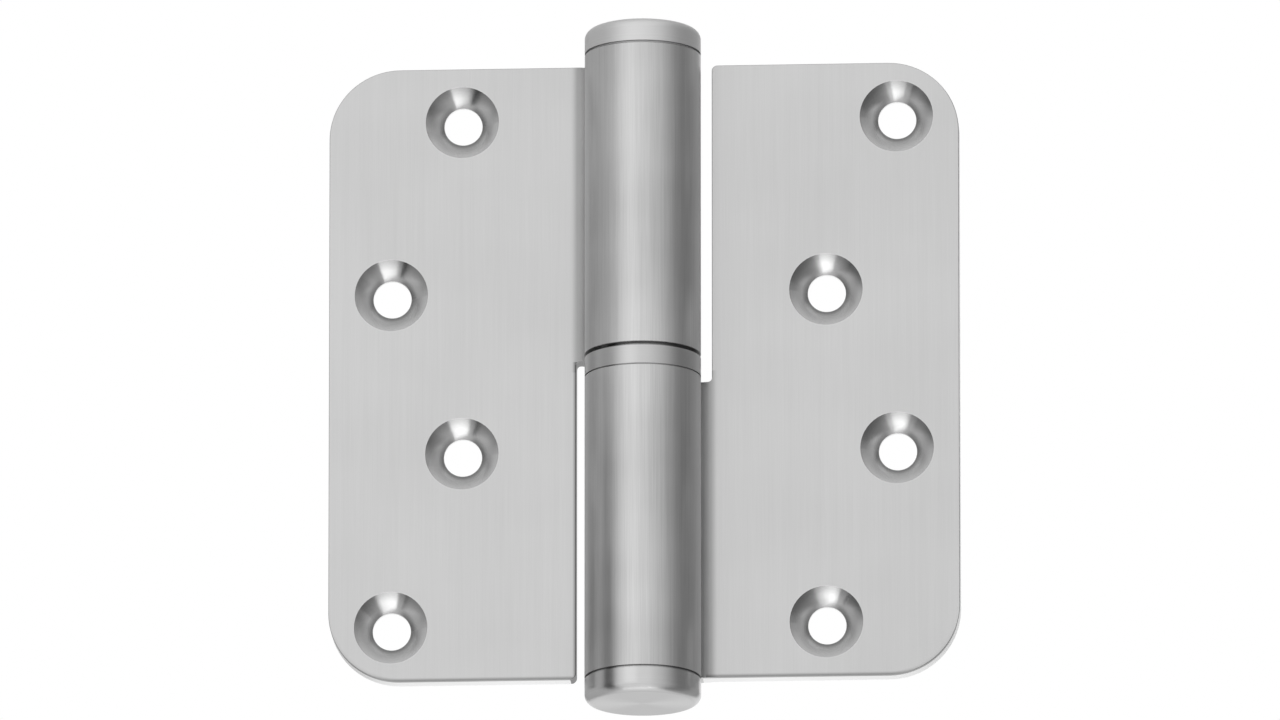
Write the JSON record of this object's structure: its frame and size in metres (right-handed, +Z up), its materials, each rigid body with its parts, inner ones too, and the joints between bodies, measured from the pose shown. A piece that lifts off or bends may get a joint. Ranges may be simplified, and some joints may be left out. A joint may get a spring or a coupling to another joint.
{
  "type": "lift-off ball bearing hinge",
  "caption": "Lift-off steel door hinge: flat round-cornered leaves with countersunk holes, curled knuckles with caps, a pin and a thrust ball bearing between the knuckles.",
  "frame": {"origin": "on the pin axis, halfway up the leaves, which is the centre of the bounding box", "axes": "+Z up along the pin as the hinge hangs, +X across the open hinge to the door frame's leaf, +Y to the back of the leaves"},
  "size_m": [0.089, 0.0164, 0.0978],
  "materials": {
    "leaf_steel": "satin stainless steel, brushed along the pin",
    "cap_steel": "satin turned stainless steel",
    "pin_steel": "ground stainless steel",
    "shell_steel": "satin turned stainless steel",
    "race_steel": "ground bearing steel",
    "ball_steel": "polished bearing steel",
    "cage_brass": "punched brass strip"
  },
  "bodies": {
    "frame_side": {"frame_leaf": "leaf_steel", "hinge_pin": "pin_steel", "lower_end_cap": "cap_steel", "bearing_shell": "shell_steel", "bearing_lower_race": "race_steel"},
    "turning_race": {"bearing_upper_race": "race_steel"},
    "door_side": {"door_leaf": "leaf_steel", "upper_end_cap": "cap_steel"},
    "ball_train": {"ball_cage": "cage_brass", "bearing_ball_01": "ball_steel", "bearing_ball_02": "ball_steel", "bearing_ball_03": "ball_steel", "bearing_ball_04": "ball_steel", "bearing_ball_05": "ball_steel", "bearing_ball_06": "ball_steel", "bearing_ball_07": "ball_steel", "bearing_ball_08": "ball_steel", "bearing_ball_09": "ball_steel", "bearing_ball_10": "ball_steel", "bearing_ball_11": "ball_steel", "bearing_ball_12": "ball_steel"}
  },
  "joints": [
    {"name": "leaf_swing", "type": "hinge", "parent": "frame_side", "child": "turning_race", "pos_m": [0, 0, 0], "axis": [0, 0, 1], "range_deg": [-100, 180]},
    {"name": "lift_off", "type": "slide", "parent": "turning_race", "child": "door_side", "axis": [0, 0, 1], "range_m": [0, 0.04]},
    {"name": "cage_orbit", "type": "hinge", "parent": "frame_side", "child": "ball_train", "pos_m": [0, 0, 0], "axis": [0, 0, 1], "range_deg": [-50, 90]}
  ],
  "couplings": [
    {"joint": "cage_orbit", "follows": "leaf_swing", "ratio": 0.5}
  ]
}
